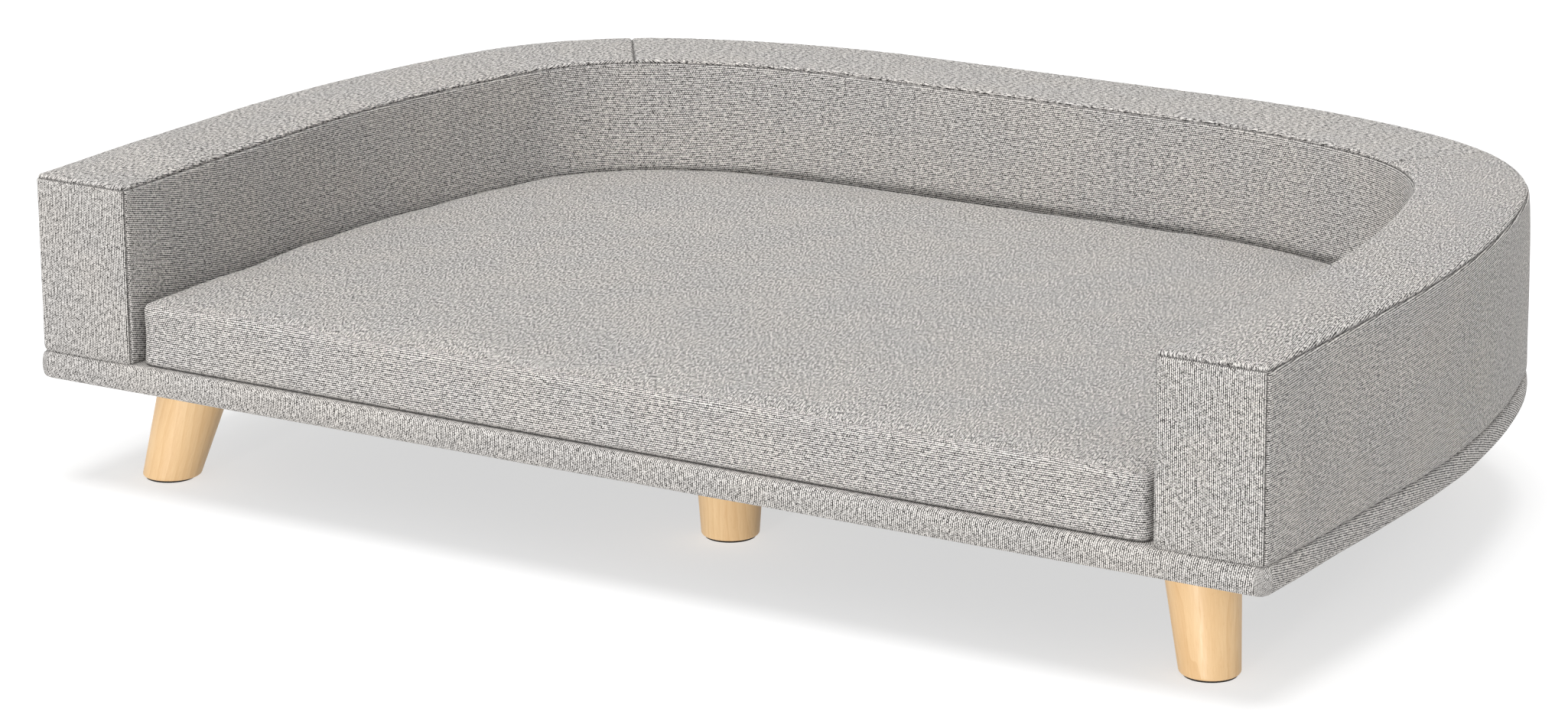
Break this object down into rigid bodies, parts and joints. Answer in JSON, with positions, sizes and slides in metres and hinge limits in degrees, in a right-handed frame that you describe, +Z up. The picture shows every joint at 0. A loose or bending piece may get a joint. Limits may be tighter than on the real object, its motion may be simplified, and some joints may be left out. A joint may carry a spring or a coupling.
{
  "type": "dog sofa bed",
  "caption": "Low pet sofa bed: padded D-shaped base on tapered wooden legs, a U-shaped bolster round sides and back, and a lift-out cushion with a zipped cover.",
  "frame": {"origin": "middle of the bed's footprint, on the floor under the foot pads", "axes": "+X along the bed's length, +Y from its open front to its back, +Z up"},
  "size_m": [1, 0.655, 0.232],
  "materials": {
    "cover_fabric": "woven",
    "foam": "open cell",
    "plywood": "raw",
    "fibreboard": "raw",
    "dust_cloth": "felted",
    "zip_tape": "woven",
    "zip_plastic": "satin",
    "zip_metal": "satin",
    "leg_wood": "satin lacquer",
    "plate_steel": "zinc plated",
    "fastener_steel": "zinc plated",
    "foot_pad": "matte"
  },
  "bodies": {
    "bed": {"back_cap_cover": "cover_fabric", "base_cover": "cover_fabric", "base_padding": "foam", "base_panel": "plywood", "bolster_bolts": "fastener_steel", "bolster_bottom_plate": "plywood", "bolster_end_boards": "plywood", "bolster_foam": "foam", "bolster_inner_board": "fibreboard", "bolster_inner_cover": "cover_fabric", "bolster_outer_board": "fibreboard", "bolster_outer_cover": "cover_fabric", "bolster_tee_nuts": "fastener_steel", "bolster_top_plate": "plywood", "bolster_uprights": "plywood", "bolster_washers": "fastener_steel", "dust_cover": "dust_cloth", "foot_pads": "foot_pad", "front_left_leg": "leg_wood", "front_left_leg_plate": "plate_steel", "front_middle_leg": "leg_wood", "front_middle_leg_plate": "plate_steel", "front_right_leg": "leg_wood", "front_right_leg_plate": "plate_steel", "hanger_bolts": "fastener_steel", "left_cap_cover": "cover_fabric", "left_end_cover": "cover_fabric", "leg_plate_screws": "fastener_steel", "rear_left_leg": "leg_wood", "rear_left_leg_plate": "plate_steel", "rear_middle_leg": "leg_wood", "rear_middle_leg_plate": "plate_steel", "rear_right_leg": "leg_wood", "rear_right_leg_plate": "plate_steel", "right_cap_cover": "cover_fabric", "right_end_cover": "cover_fabric"},
    "cushion": {"cushion_core": "foam", "cushion_top_cover": "cover_fabric", "cushion_bottom_cover": "cover_fabric", "cushion_boxing": "cover_fabric", "zip_tape": "zip_tape", "zip_teeth": "zip_plastic", "zip_stops": "zip_plastic"},
    "zip_runner": {"zip_slider": "zip_metal", "zip_pull": "zip_metal"}
  },
  "joints": [
    {"name": "cushion_lift", "type": "slide", "parent": "bed", "child": "cushion", "axis": [0, 0, 1], "range_m": [0, 0.16]},
    {"name": "zip_run", "type": "slide", "parent": "cushion", "child": "zip_runner", "axis": [-1, 0, 0], "range_m": [0, 0.2499]}
  ]
}
